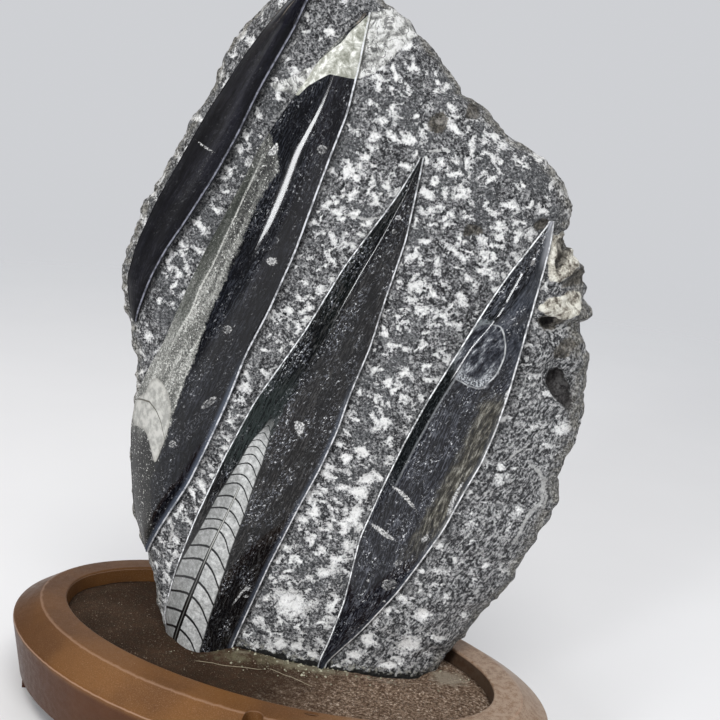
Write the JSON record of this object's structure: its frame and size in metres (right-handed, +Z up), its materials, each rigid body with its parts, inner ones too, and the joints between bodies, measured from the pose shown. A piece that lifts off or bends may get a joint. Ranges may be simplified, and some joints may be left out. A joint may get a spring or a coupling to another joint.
{
  "type": "orthoceras fossil sculpture on a stand",
  "caption": "Upright slab of dark fossil limestone with polished orthoceras cones in relief, its foot set in the gritty filling of an oval brown stand",
  "frame": {"origin": "on the ground, under the middle of the oval stand", "axes": "+Z up, X along the stand's long axis, -Y towards the side that the fossils face; the stone is turned 15 degrees about Z"},
  "size_m": [0.273, 0.1658, 0.3524],
  "materials": {
    "fossil_limestone": "satin",
    "set_sand": "matte",
    "stand_brown": "matte",
    "foot_brown": "matte"
  },
  "bodies": {
    "root": {"fossil_stone": "fossil_limestone", "sand_filling": "set_sand", "oval_stand": "stand_brown", "stand_foot_left": "foot_brown", "stand_foot_front": "foot_brown", "stand_foot_right": "foot_brown", "stand_foot_back": "foot_brown"}
  },
  "joints": []
}
